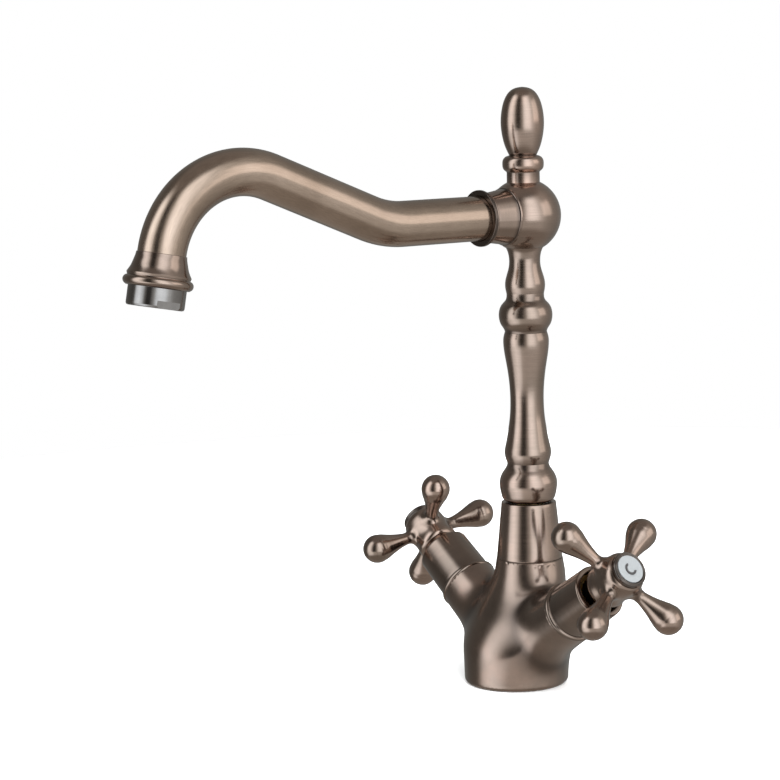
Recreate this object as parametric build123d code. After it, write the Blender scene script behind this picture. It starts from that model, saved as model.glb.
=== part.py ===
from build123d import *
import os
from math import cos, radians, sin, sqrt, tan

# Deck-mounted twin-handle basin mixer with a turned column, a swan-neck swivel spout and two
# cross handles. Millimetres, +Z up, origin at the centre of the base on the deck, spout along -Y,
# cold valve on +X and hot valve on -X.

# ---- driving dimensions --------------------------------------------------------------------
running = 0.05            # radial clearance of a shaft in its bore
seat_gap = 0.02           # radial clearance between fixed pieces that screw or push together
body_gap = 0.3            # space between pieces that move past each other

# base and body casting
base_r = 25.4
base_straight_h = 14.0    # height up to which the drum stays straight
base_edge_r = 2.2         # rounding of the drum's lower edge
column_y = 9.6            # column axis, set back from the base centre
neck_top_z = 60.5         # seam between the casting and the collar
neck_top_r = 16.2
# shoulder from the drum to the neck: share of the height, of the set-back, of the radius step
shoulder = [(0, 0, 1), (0.08, 0.01, 0.99), (0.18, 0.09, 0.93), (0.41, 0.43, 0.66), (0.69, 0.86, 0.27),
            (0.86, 1, 0.11), (1, 1, 0)]
cast_blend_r = 6.5        # where arms, drum and neck run into each other
socket_floor_z = 42.0
boss_r = 12.4             # threaded boss inside the collar
boss_h = 9.5

# deck side
gasket_inset, gasket_w, gasket_h = 2.8, 3.0, 2.0
inlet_x = 9.5
inlet_r = 4.6             # M10 x 1 thread
inlet_depth = 12.0
stud_r = 3.4              # M8 thread
stud_margin = 1.7         # metal between the stud hole and the gasket
stud_depth = 14.0
passage_r = 3.0

# valve arms: distances s are measured outwards along the valve axis
valve_y, valve_z = 2.4, 14.35
valve_tilt = 33.15        # rise of the valve axis above the deck, degrees
arm_end_s = 47.6
arm_root_r, arm_end_r = 15.4, 14.5
spigot_r, spigot_h = 12.15, 2.4
pocket_floor_s = 30.0
pocket_r = 10.5

# valve sleeve
sleeve_flange_r, sleeve_flange_h = 15.0, 2.6
sleeve_foot_r, sleeve_mouth_r = 13.8, 13.25
sleeve_mouth_s = 74.0
sleeve_wall = 1.2
mouth_bore_r, mouth_lip, mouth_edge = 10.7, 2.2, 0.7

# cartridge
hex_af, hex_h = 20.8, 4.0
headwork_r = 8.2
headwork_end_s = 69.0
disc_r, disc_t, disc_gap = 8.2, 2.4, 0.1
seal_t = 1.5
spindle_r = 4.0
spline_r = 3.6
port_r = 2.4
clip_t, clip_grip = 1.0, 1.6
ring_section_r = 0.8

# cross handle
cross_s = 89.1            # plane of the four arms
ball_reach, ball_r = 30.9, 7.3
hub_r, hub_back_s, hub_front_s = 10.3, 77.4, 97.6
hub_neck_r, hub_neck_s = 8.4, 71.6
# arm outline: share of the ball's radius, share of its reach
arm_shape = [(0.62, 0.24), (0.46, 0.33), (0.42, 0.41), (0.48, 0.5), (0.6, 0.65), (0.8, 0.8)]
arm_root_blend = 2.5
hot_turn, cold_turn = -13.2, 38.7   # how the crosses stand with the water off, degrees
bezel_r, bezel_end_s = 8.7, 100.1
button_r, button_t, button_proud = 7.65, 1.8, 0.25
mark_r, mark_w, mark_t = 3.0, 1.05, 0.3
mark_turn = 40            # the letters stand turned on their buttons, degrees
spindle_end_s = 90.5
cross_bore_s = 81.0       # where the hub's splined bore begins
screw_r, screw_head_r, screw_head_h = 2.0, 4.2, 2.4
screw_depth, screw_hold = 7.0, 1.6

# swivel column, whose pieces stack up from the collar and down from the top
overall_h = 290.0
collar_top_z, collar_top_r, collar_foot_r = 88.3, 13.4, 16.1
tail_r, tail_bore_r = 8.0, 5.0
tail_foot_z = 50.0
tail_socket_h = 8.0       # how far the riser tube stands in the tail
flange_t = 2.6
flange_step = 2.6         # how far the thrust flange stands out from the tail
washer_t = 1.0
bush_t, bush_neck = 2.0, 2.2
riser_r, riser_bore_r = 5.5, 4.25
knop_h, knop_r, knop_centre = 19.1, 14.15, 8.6
middle_h, middle_r, middle_centre = 19.1, 13.0, 8.3
bulb_h, bulb_r = 22.0, 9.65
vase_top_r, vase_waist_r, vase_foot_r = 11.05, 8.2, 11.35
seam_r = 10.25            # radius of the grooves between knops and baluster
head_wall = 7.2           # by how much the head ball is larger than the tube it carries
head_foot_cut, head_top_cut = 2.5, 1.9   # depth of the two flats on the ball
finial_collar_h, finial_collar_r = 13.0, 9.95
finial_h, finial_r, finial_foot_r = 32.6, 10.4, 6.6
finial_stem_r, finial_stem_h = 3.0, 5.5

# spout
tube_r, tube_wall = 10.7, 1.3
tenon_wall, ferrule_wall0, ferrule_wall1 = 1.2, 3.0, 0.9   # metal over the tube
ferrule_ridge, ridge_w = 0.3, 1.0     # raised edge where the cone meets the ball
ferrule_end = 24.4                    # distance from the column axis
spout_flange_step, spout_flange_t = 2.8, 3.0
spout_ring_section = 0.65
rise_angle = 22.0
bend_at, bend_r = 81.9, 52.0          # first bend's corner, from the column axis
arch_at, arch_r = 158.8, 41.5         # arch centre, from the column axis
outlet_tilt = 11.0                    # outlet axis from the vertical
aerator_r, aerator_len, aerator_proud = 12.85, 13.5, 8.7   # M24 thread inside the bell
aerator_wall, aerator_lip = 2.25, 0.8
spanner_flat, spanner_flat_h = 1.3, 3.3
washer_gap = 2.0
bell_len, bell_step = 10.3, 0.4
bell_wall = 1.45
bead_wall, bead_h = 2.65, 4.6
insert_t, insert_pitch, insert_hole, insert_rows = 5.0, 3.0, 2.1, 2

# ---- places that follow from them ----------------------------------------------------------
column_axis = Plane(origin=(0, column_y, 0))
gasket_r = base_r - gasket_inset
stud_y = gasket_w + stud_r + stud_margin - gasket_r
socket_r = tail_r + running           # bore that the swivel tail turns in
flange_r = tail_r + flange_step
washer_z = neck_top_z + boss_h
flange_z = washer_z + washer_t + seat_gap
bush_z = flange_z + flange_t + seat_gap
bush_neck_r = tail_r + bush_neck
tail_ring_zs = (tail_foot_z + 5, tail_foot_z + 12)
knop_foot_z = collar_top_z + body_gap
knop_top_z = knop_foot_z + knop_h
head_r = tube_r + head_wall
head_top_z = overall_h - finial_h - finial_collar_h
head_z = head_top_z - head_r + head_top_cut   # the spout leaves the ball at its centre height
head_foot_z = head_z - head_r + head_foot_cut
bulb_z = head_foot_z - bulb_h
baluster_top_z = bulb_z - middle_h
riser_top_z = head_z - 6
spout_frame = Plane(origin=(0, column_y, head_z), x_dir=(1, 0, 0), z_dir=(0, -1, 0))
tenon_r, tenon_start = tube_r + tenon_wall, riser_r + 1.5
ferrule_r0, ferrule_r1 = tube_r + ferrule_wall0, tube_r + ferrule_wall1
ferrule_start = sqrt(head_r ** 2 - (ferrule_r0 + 0.1) ** 2)   # where the cone's foot lies in the ball's skin
tube_socket_r = tube_r + seat_gap
tube_start = tenon_start + 1.0
spout_flange_r = tube_r + spout_flange_step
spout_ring_xs = (ferrule_start + 1.4, ferrule_start + 4.6)
arch_centre_z = head_z + (arch_at - bend_at) * tan(radians(rise_angle)) - arch_r / cos(radians(rise_angle))
bell_r, bell_rim_r, bead_r = tube_r + bell_step, aerator_r + bell_wall, aerator_r + bead_wall
aerator_bore_r = aerator_r - aerator_wall
aerator_top = bell_len + bead_h + aerator_proud - aerator_len
moving_disc_s = pocket_floor_s + seal_t + disc_t + disc_gap
outlet_window_s = moving_disc_s + disc_t + 3.6
chamber_end_s = outlet_window_s + passage_r + 0.4
barrel_ring_s = arm_end_s - 0.4
spindle_ring_s = chamber_end_s + 6
clip_s = headwork_end_s + 0.1
screw_seat_s = spindle_end_s + screw_hold

# ---- helpers -------------------------------------------------------------------------------

def ring(r_out, r_in, z0, z1):
    """A plain ring about the local Z axis."""
    solid = Pos(0, 0, z0) * Cylinder(r_out, z1 - z0, align=(Align.CENTER, Align.CENTER, Align.MIN))
    if r_in > 0:
        solid -= Pos(0, 0, z0 - 1) * Cylinder(
            r_in, z1 - z0 + 2, align=(Align.CENTER, Align.CENTER, Align.MIN))
    return solid


def turned(outline):
    """Solid turned about the local Z axis from a closed outline of (radius, height) corners."""
    return revolve(Plane.XZ * make_face(Polyline(*[(r, z) for r, z in outline], close=True)), Axis.Z)


def turned_curve(foot, height, outline, bore_r):
    """Bored piece whose outside is one smooth curve through (radius, share of the height) points."""
    points = [(r, foot + share * height) for r, share in outline]
    (r0, z0), (r1, z1) = points[0], points[-1]
    sides = Polyline((r1, z1), (bore_r, z1), (bore_r, z0), (r0, z0))
    return revolve(Plane.XZ * make_face([Spline(*points), sides]), Axis.Z)


def torus(r, section, z):
    return Pos(0, 0, z) * Torus(r, section)


def on_column(solid):
    return column_axis * solid


def valve_plane(side):
    """Local frame of one valve: Z outwards along its axis, X along the row's +Y."""
    tilt = radians(valve_tilt)
    return Plane(origin=(0, valve_y, valve_z), x_dir=(0, 1, 0), z_dir=(side * cos(tilt), 0, sin(tilt)))


def valve_point(side, s):
    tilt = radians(valve_tilt)
    return Vector(side * s * cos(tilt), valve_y, valve_z + s * sin(tilt))


def drill(start, end, r):
    """A round passage from one point to another."""
    start, end = Vector(*start), Vector(*end)
    way = end - start
    return Plane(origin=start, z_dir=way) * Cylinder(
        r, way.length, align=(Align.CENTER, Align.CENTER, Align.MIN))


# ---- fixed pieces --------------------------------------------------------------------------
def casting_outside():
    """Drum, shoulder and two valve arms, blended into one cast shape."""
    drum = ring(base_r, 0, 0, base_straight_h)
    drum = fillet(drum.edges().filter_by(GeomType.CIRCLE).sort_by(Axis.Z)[0], base_edge_r)
    rise, step = neck_top_z - base_straight_h, base_r - neck_top_r
    trunk = drum + loft([Pos(0, back * column_y, base_straight_h + up * rise) * Circle(neck_top_r + out * step)
                         for up, back, out in shoulder])
    for side in (1, -1):
        trunk += valve_plane(side) * turned([
            (0, base_r / 3), (arm_root_r, base_r / 3), (arm_end_r, arm_end_s), (0, arm_end_s)])
    joins = [e for e in trunk.edges() if e.geom_type == GeomType.BSPLINE and e.center().Z < neck_top_z - 1]
    return fillet(joins, cast_blend_r)


def body_casting():
    solid = casting_outside()
    solid += on_column(ring(boss_r, 0, neck_top_z - 1, neck_top_z + boss_h))
    solid -= on_column(ring(socket_r, 0, socket_floor_z, neck_top_z + boss_h + 1))
    for side in (1, -1):
        frame = valve_plane(side)
        solid += frame * ring(spigot_r, 0, arm_end_s - 1, arm_end_s + spigot_h)
        solid -= frame * ring(pocket_r, 0, pocket_floor_s, arm_end_s + spigot_h + 1)
        inlet_top = (side * inlet_x, valve_y, inlet_depth - 1)
        solid -= Pos(side * inlet_x, valve_y, -1) * ring(inlet_r, 0, 0, inlet_depth + 1)
        solid -= drill(inlet_top, valve_point(side, pocket_floor_s + 1), passage_r)
        mixing = (0, column_y, socket_floor_z + passage_r + 0.5)
        solid -= drill(mixing, valve_point(side, outlet_window_s), passage_r)
    solid -= Pos(0, stud_y, -1) * ring(stud_r, 0, 0, stud_depth + 1)
    solid -= ring(gasket_r, gasket_r - gasket_w, -1, gasket_h)
    return solid


def base_gasket():
    return ring(gasket_r - seat_gap, gasket_r - gasket_w + seat_gap, 0, gasket_h - seat_gap)


def collar():
    bore_top = bush_z + bush_t
    solid = turned([
        (boss_r + seat_gap, neck_top_z), (collar_foot_r, neck_top_z), (collar_top_r, collar_top_z - 0.6),
        (collar_top_r - 0.5, collar_top_z), (bush_neck_r + seat_gap, collar_top_z),
        (bush_neck_r + seat_gap, bore_top), (boss_r + seat_gap, bore_top)])
    return on_column(solid)


def thrust_washer():
    return on_column(ring(boss_r - 0.4, tail_r + running, washer_z, washer_z + washer_t))


def swivel_bush():
    shoulder_z, end_z = bush_z + bush_t - seat_gap, collar_top_z - 0.4
    return on_column(turned([
        (tail_r + running, bush_z), (boss_r - 0.1, bush_z), (boss_r - 0.1, shoulder_z),
        (bush_neck_r, shoulder_z), (bush_neck_r, end_z), (tail_r + running, end_z)]))


def sleeve(side):
    foot, mouth = arm_end_s, sleeve_mouth_s
    bore = sleeve_foot_r - sleeve_wall
    ledge = foot + spigot_h
    solid = turned([
        (spigot_r + seat_gap, foot), (sleeve_flange_r - 0.7, foot), (sleeve_flange_r, foot + 0.8),
        (sleeve_flange_r, foot + sleeve_flange_h - 0.7), (sleeve_flange_r - 0.6, foot + sleeve_flange_h),
        (sleeve_foot_r, foot + sleeve_flange_h + 0.4), (sleeve_mouth_r, mouth - mouth_edge),
        (sleeve_mouth_r - mouth_edge, mouth), (mouth_bore_r + 0.3, mouth), (mouth_bore_r, mouth - 0.3),
        (mouth_bore_r, mouth - mouth_lip), (sleeve_mouth_r - sleeve_wall, mouth - mouth_lip - 1),
        (bore, ledge + 1.5), (spigot_r + seat_gap, ledge)])
    return valve_plane(side) * solid


def cartridge_body(side):
    """Screw-in headwork: threaded barrel with outlet windows, hexagon and spindle guide."""
    hexagon_s = arm_end_s + spigot_h
    barrel = ring(pocket_r - seat_gap, 0, pocket_floor_s + seal_t, hexagon_s)
    nut = Pos(0, 0, hexagon_s) * extrude(RegularPolygon(hex_af / 2, 6, major_radius=False), hex_h)
    guide = ring(headwork_r, 0, hexagon_s + hex_h - 0.5, headwork_end_s)
    solid = barrel + nut + guide
    solid -= ring(disc_r + seat_gap, 0, pocket_floor_s, chamber_end_s)
    solid -= ring(spindle_r + running, 0, chamber_end_s - 1, headwork_end_s + 1)
    solid -= Pos(0, 0, outlet_window_s) * Rot(90, 0, 0) * Cylinder(passage_r, 3 * pocket_r)
    solid -= Pos(0, 0, outlet_window_s) * Rot(0, 90, 0) * Cylinder(passage_r, 3 * pocket_r)
    groove_r = pocket_r - 2 * ring_section_r
    solid -= ring(pocket_r + 1, groove_r, barrel_ring_s - 1, barrel_ring_s + 1)
    return valve_plane(side) * solid


def barrel_o_ring(side):
    section = ring_section_r - seat_gap
    return valve_plane(side) * torus(pocket_r - ring_section_r, section, barrel_ring_s)


def seat_seal(side):
    return valve_plane(side) * ring(disc_r - 0.2, port_r + 1.6, pocket_floor_s, pocket_floor_s + seal_t)


def ceramic_disc(z0):
    """Ceramic disc with two ports across one diameter."""
    disc = ring(disc_r, 0, z0, z0 + disc_t)
    for x in (-1, 1):
        disc -= Pos(x * disc_r / 2, 0, z0 + disc_t / 2) * Cylinder(port_r, 2 * disc_t)
    return disc


def fixed_disc(side):
    return valve_plane(side) * ceramic_disc(pocket_floor_s + seal_t)


# ---- handle pieces -------------------------------------------------------------------------
def moving_disc(side):
    # shut: its ports stand square to those of the fixed disc
    disc = ring(disc_r - running, 0, moving_disc_s, moving_disc_s + disc_t)
    for y in (-1, 1):
        disc -= Pos(0, y * disc_r / 2, moving_disc_s + disc_t / 2) * Cylinder(port_r, 2 * disc_t)
    return valve_plane(side) * disc


def spindle(side):
    foot = moving_disc_s + disc_t
    solid = ring(3.0, 0, foot, foot + 1) + Pos(0, 0, foot + 0.9) * extrude(
        RectangleRounded(2 * disc_r - 3, 6.5, 2), 1.6)
    solid += ring(spindle_r, 0, foot + 1, cross_bore_s - 2.5)
    solid += ring(spline_r, 0, cross_bore_s - 3, spindle_end_s)
    solid -= ring(spindle_r + 1, spindle_r - 1.5 * ring_section_r, spindle_ring_s - 1, spindle_ring_s + 1)
    solid -= ring(spindle_r + 1, spindle_r - 0.6, clip_s, clip_s + clip_t + seat_gap)
    solid -= ring(screw_r + seat_gap, 0, spindle_end_s - screw_depth, spindle_end_s + 1)
    return valve_plane(side) * solid


def spindle_o_ring(side):
    section = 0.75 * ring_section_r
    return valve_plane(side) * torus(spindle_r - section, section, spindle_ring_s)


def spindle_clip(side):
    clip = ring(spindle_r + clip_grip, spindle_r - 0.5, clip_s + seat_gap, clip_s + clip_t)
    clip -= Pos(spindle_r + 1, 0, clip_s + clip_t / 2) * Box(5, 3.2, 3)
    return valve_plane(side) * clip


def cross_turn(side):
    return Rot(0, 0, cold_turn if side > 0 else hot_turn)


def cross(side):
    """Hub with four ball-ended arms, one casting."""
    back, front = hub_back_s, hub_front_s
    hub = revolve(Plane.XZ * make_face([
        Polyline((0, front), (0, back), (hub_r - 1.1, back), (hub_r - 0.4, back + 0.7)),
        Spline((hub_r - 0.4, back + 0.7), (hub_r, back + 6), (hub_r + 0.3, cross_s + 1),
               (hub_r - 0.1, front - 2.4), (bezel_r, front)),
        Line((bezel_r, front), (0, front))]), Axis.Z)
    stem = [(share * ball_r, reach * ball_reach) for share, reach in arm_shape]
    tip = (0.93 * ball_r, ball_reach - 0.25 * ball_r)
    arm = revolve(Plane.XZ * make_face([
        Spline(*stem, tip), Polyline(tip, (0, tip[1]), (0, stem[0][1]), stem[0])]), Axis.Z)
    arm = Rot(0, 90, 0) * (arm + Pos(0, 0, ball_reach) * Sphere(ball_r))
    for k in range(4):
        hub += Pos(0, 0, cross_s) * Rot(0, 0, 90 * k) * arm
    roots = [e for e in hub.edges() if e.geom_type == GeomType.BSPLINE and abs(e.center().Z - cross_s) < ball_r]
    solid = fillet(roots, arm_root_blend)
    solid += ring(hub_neck_r, 0, hub_neck_s, back + 1)
    solid -= ring(spline_r + seat_gap, 0, cross_bore_s, spindle_end_s + seat_gap)
    solid -= ring(spindle_r + 2.4, 0, hub_neck_s - 1, cross_bore_s)
    solid -= ring(screw_r + 0.3, 0, spindle_end_s, front + 1)
    solid -= ring(screw_head_r + 0.3, 0, screw_seat_s, front + 1)
    return valve_plane(side) * cross_turn(side) * solid


def handle_screw(side):
    solid = ring(screw_head_r, 0, screw_seat_s, screw_seat_s + screw_head_h)
    solid += ring(screw_r, 0, spindle_end_s - screw_depth + 0.5, screw_seat_s + 0.5)
    socket = Pos(0, 0, screw_seat_s + 0.8) * extrude(RegularPolygon(1.75, 6), screw_head_h)
    return valve_plane(side) * (solid - socket)


def index_bezel(side):
    foot = hub_front_s
    solid = turned([
        (button_r + seat_gap, foot), (bezel_r - 0.5, foot), (bezel_r - 0.5, foot + 0.7), (bezel_r, foot + 1.0),
        (bezel_r, bezel_end_s - 0.4), (bezel_r - 0.35, bezel_end_s), (button_r + seat_gap, bezel_end_s)])
    return valve_plane(side) * solid


def index_button(side):
    top = bezel_end_s + button_proud
    solid = ring(button_r, 0, top - button_t, top)
    solid = fillet(solid.edges().filter_by(GeomType.CIRCLE).sort_by(Axis.Z)[-1], 0.2)
    return valve_plane(side) * solid


def index_mark(side):
    """C for cold, H for hot, laid on the button."""
    top = bezel_end_s + button_proud
    if side > 0:
        letter = ring(mark_r, mark_r - mark_w, top, top + mark_t)
        letter -= Pos(mark_r, 0, top) * Rot(0, 0, 45) * Box(2 * mark_r, 2 * mark_r, 2)
    else:
        post = [Pos(x * (mark_r - mark_w), 0, top + mark_t / 2) * Box(mark_w, 2 * mark_r, mark_t)
                for x in (-1, 1)]
        bar = Pos(0, 0, top + mark_t / 2) * Box(2 * mark_r - 2 * mark_w, mark_w, mark_t)
        letter = post[0] + bar + post[1]
    # local X runs along +Y for either valve, so a letter on the hot side is turned half round
    return valve_plane(side) * Rot(0, 0, mark_turn if side > 0 else 180 + mark_turn) * letter


# ---- swivel column -------------------------------------------------------------------------
def swivel_tail():
    """Brass tail that turns in the socket, with its thrust flange and two O-ring grooves."""
    solid = ring(tail_r, 0, tail_foot_z, knop_foot_z)
    solid += ring(flange_r, 0, flange_z, flange_z + flange_t)
    for z in tail_ring_zs:
        solid -= ring(tail_r + 1, tail_r - 2 * ring_section_r, z - 1, z + 1)
    solid -= ring(tail_bore_r, 0, tail_foot_z - 1, knop_foot_z - tail_socket_h)
    solid -= ring(riser_r + seat_gap, 0, knop_foot_z - tail_socket_h, knop_foot_z + 1)
    return on_column(solid)


def tail_o_rings():
    rings = [torus(tail_r - ring_section_r, ring_section_r - seat_gap, z) for z in tail_ring_zs]
    return on_column(rings[0] + rings[1])


def riser_tube():
    return on_column(ring(riser_r, riser_bore_r, knop_foot_z - tail_socket_h, riser_top_z))


def lower_knop():
    centre = knop_centre / knop_h
    outline = [(0.76 * knop_r, 0), (0.87 * knop_r, 0.06), (0.955 * knop_r, 0.2), (knop_r, centre),
               (0.96 * knop_r, centre + 0.18), (0.86 * knop_r, centre + 0.32), (0.77 * knop_r, centre + 0.42),
               (seam_r + 0.1, 0.95), (seam_r, 1)]
    return on_column(turned_curve(knop_foot_z, knop_h, outline, riser_r + seat_gap))


def baluster():
    outline = [(seam_r, 0), (0.96 * vase_foot_r, 0.034), (vase_foot_r, 0.069), (0.98 * vase_foot_r, 0.115),
               (0.925 * vase_foot_r, 0.162), (0.83 * vase_foot_r, 0.255), (1.045 * vase_waist_r, 0.347),
               (vase_waist_r, 0.444), (vase_waist_r, 0.53), (1.06 * vase_waist_r, 0.646),
               (0.87 * vase_top_r, 0.748), (0.95 * vase_top_r, 0.83), (vase_top_r, 0.91),
               (0.985 * vase_top_r, 0.96), (seam_r, 1)]
    return on_column(turned_curve(knop_top_z, baluster_top_z - knop_top_z, outline, riser_r + seat_gap))


def middle_knop():
    centre = middle_centre / middle_h
    outline = [(seam_r, 0), (0.81 * middle_r, 0.063), (0.915 * middle_r, centre - 0.24),
               (0.977 * middle_r, centre - 0.136), (middle_r, centre), (0.977 * middle_r, centre + 0.136),
               (0.915 * middle_r, centre + 0.24), (0.815 * middle_r, centre + 0.325),
               (0.73 * middle_r, centre + 0.4), (0.7 * middle_r, centre + 0.487), (0.7 * middle_r, 1)]
    return on_column(turned_curve(baluster_top_z, middle_h, outline, riser_r + seat_gap))


def bulb_neck():
    outline = [(0.95 * bulb_r, 0), (bulb_r, 0.155), (0.975 * bulb_r, 0.3), (0.88 * bulb_r, 0.445),
               (0.8 * bulb_r, 0.573), (0.777 * bulb_r, 0.71), (0.81 * bulb_r, 0.836), (0.9 * bulb_r, 0.964),
               (0.94 * bulb_r, 1)]
    return on_column(turned_curve(bulb_z, bulb_h, outline, riser_r + seat_gap))


def head_ball():
    solid = on_column(Pos(0, 0, head_z) * Sphere(head_r))
    solid -= on_column(ring(head_r, 0, head_z - head_r, head_foot_z))
    solid -= on_column(ring(head_r, 0, head_top_z, head_z + head_r))
    solid -= spout_frame * ring(head_r, 0, ferrule_start, 2 * head_r)
    solid -= on_column(ring(riser_r + seat_gap, 0, head_foot_z - 1, riser_top_z))
    solid -= on_column(ring(riser_bore_r, 0, riser_top_z - 1, head_z))
    solid -= spout_frame * ring(tenon_r + seat_gap, 0, tenon_start, head_r)
    solid -= spout_frame * ring(riser_bore_r + 2, 0, 0, head_r)
    solid -= on_column(ring(finial_stem_r + seat_gap, 0, head_top_z - finial_stem_h - 0.5, head_top_z + 1))
    return solid


def finial_collar():
    z, r, h = head_top_z, finial_collar_r, finial_collar_h
    solid = turned([
        (finial_stem_r + seat_gap, z), (r - 2, z), (r - 2, z + 0.38 * h), (r - 1.65, z + 0.4 * h),
        (r - 0.35, z + 0.49 * h), (r, z + 0.62 * h), (r, z + 0.75 * h), (r - 0.45, z + 0.87 * h),
        (r - 1.95, z + 0.97 * h), (finial_foot_r, z + h), (finial_stem_r + seat_gap, z + h)])
    return on_column(solid)


def finial():
    foot, h = overall_h - finial_h, finial_h
    outline = [(finial_foot_r, 0), (0.79 * finial_r, 0.11), (0.94 * finial_r, 0.29), (finial_r, 0.48),
               (0.95 * finial_r, 0.67), (0.74 * finial_r, 0.86), (0.44 * finial_r, 0.965), (0, 1)]
    egg = revolve(Plane.XZ * make_face([
        Spline(*[(r, foot + share * h) for r, share in outline], tangents=[(0.35, 1), (-1, 0)]),
        Polyline((0, overall_h), (0, foot), (finial_foot_r, foot))]), Axis.Z)
    egg += ring(finial_stem_r, 0, head_top_z - finial_stem_h, foot + 1)
    return on_column(egg)


# ---- spout, its length measured from the column axis along -Y --------------------------------
def spout_ferrule():
    """Cone that carries the spout: tenon screwed in the head ball, socket for the tube."""
    solid = turned([
        (tube_socket_r, tenon_start), (tenon_r, tenon_start), (tenon_r, ferrule_start),
        (ferrule_r0 + ferrule_ridge, ferrule_start), (ferrule_r0 + ferrule_ridge, ferrule_start + ridge_w),
        (ferrule_r0 - 0.3, ferrule_start + ridge_w + 0.4), (ferrule_r1, ferrule_end),
        (tube_socket_r, ferrule_end)])
    for x in spout_ring_xs:
        solid -= ring(tube_r + 2 * spout_ring_section, 0, x - spout_ring_section, x + spout_ring_section)
    return spout_frame * solid


def spout_flange():
    a, b = ferrule_end, ferrule_end + spout_flange_t
    solid = turned([
        (tube_r + seat_gap, a), (spout_flange_r - 0.9, a), (spout_flange_r, a + 0.9),
        (spout_flange_r, b - 0.8), (spout_flange_r - 0.8, b), (tube_r + seat_gap, b)])
    return spout_frame * solid


def spout_path():
    """Centreline: level run, a bend upwards, a straight rise and the arch down to the outlet."""
    tilt, rise = radians(outlet_tilt), radians(rise_angle)
    half = bend_r * tan(rise / 2)
    corner = Vector(0, column_y - bend_at, head_z)
    centre = Vector(0, column_y - arch_at, arch_centre_z)
    bend_from = corner + Vector(0, half, 0)
    bend_centre = bend_from + Vector(0, 0, bend_r)
    bend_mid = bend_centre - bend_r * Vector(0, sin(rise / 2), cos(rise / 2))
    bend_to = corner + half * Vector(0, -cos(rise), sin(rise))
    arch_from = centre + arch_r * Vector(0, sin(rise), cos(rise))
    arch_top = centre + Vector(0, 0, arch_r)
    end = centre + arch_r * Vector(0, -cos(tilt), sin(tilt))
    path = Wire([
        Line(Vector(0, column_y - tube_start, head_z), bend_from), ThreePointArc(bend_from, bend_mid, bend_to),
        Line(bend_to, arch_from), ThreePointArc(arch_from, arch_top, end)])
    return path, end


def spout_tube():
    path, _ = spout_path()
    section = Plane(origin=(0, column_y - tube_start, head_z), z_dir=(0, -1, 0))
    outer = sweep(section * Circle(tube_r), path)
    inner = sweep(section * Circle(tube_r - tube_wall), path)
    return outer - inner


def spout_o_rings():
    rings = [torus(tube_r + spout_ring_section, spout_ring_section - seat_gap, x) for x in spout_ring_xs]
    return spout_frame * (rings[0] + rings[1])


def outlet_frame():
    """Local frame of the outlet: Z down along the outlet axis, from the end of the tube."""
    _, end = spout_path()
    tilt = radians(outlet_tilt)
    return Plane(origin=end, x_dir=(1, 0, 0), z_dir=(0, -sin(tilt), -cos(tilt)))


def outlet_bell():
    """Flared end of the spout with a bead round its foot, threaded inside for the aerator."""
    rim, foot, flare = bell_len, bell_len + bead_h, bell_rim_r - bell_r
    outer = [
        Line((tube_r, 0), (bell_r, 0.4)),
        Spline((bell_r, 0.4), (bell_r + 0.19 * flare, 0.3 * rim), (bell_r + 0.53 * flare, 0.62 * rim),
               (bell_rim_r, rim - 1.3)),
        Polyline((bell_rim_r, rim - 1.3), (bell_rim_r - 0.1, rim - 0.9), (bell_rim_r - 0.6, rim)),
        ThreePointArc((bell_rim_r - 0.6, rim), (bead_r, rim + bead_h / 2), (bell_rim_r - 0.4, foot)),
        Polyline((bell_rim_r - 0.4, foot), (aerator_r + seat_gap, foot), (aerator_r + seat_gap, aerator_top),
                 (tube_r - tube_wall, aerator_top), (tube_r - tube_wall, 0), (tube_r, 0))]
    return outlet_frame() * revolve(Plane.XZ * make_face(outer), Axis.Z)


def aerator_shell():
    end = aerator_top + aerator_len
    solid = turned([
        (aerator_bore_r, aerator_top + washer_gap), (aerator_r, aerator_top + washer_gap),
        (aerator_r, end - 1.1), (aerator_r - 0.3, end - 0.3), (aerator_r - 1.1, end),
        (aerator_bore_r - aerator_lip, end), (aerator_bore_r - aerator_lip, end - 1.4),
        (aerator_bore_r, end - 1.4)])
    for x in (-1, 1):
        flat = Box(2 * spanner_flat, 2 * aerator_r, 2 * spanner_flat_h)
        solid -= Pos(x * aerator_r, 0, end) * flat
    return outlet_frame() * solid


def aerator_washer():
    return outlet_frame() * ring(aerator_r - 0.3, aerator_bore_r - 1.6, aerator_top, aerator_top + washer_gap)


def aerator_insert():
    """Plastic stream straightener: a cup with a grid of square holes."""
    end = aerator_top + aerator_len - 1.4
    cup = ring(aerator_bore_r - seat_gap, 0, end - insert_t, end)
    steps = range(-insert_rows, insert_rows + 1)
    for i in steps:
        for j in steps:
            if i * i + j * j <= insert_rows ** 2 + 2:
                hole = Box(insert_hole, insert_hole, 2 * insert_t)
                cup -= Pos(i * insert_pitch, j * insert_pitch, end - insert_t / 2) * hole
    return outlet_frame() * cup


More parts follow.
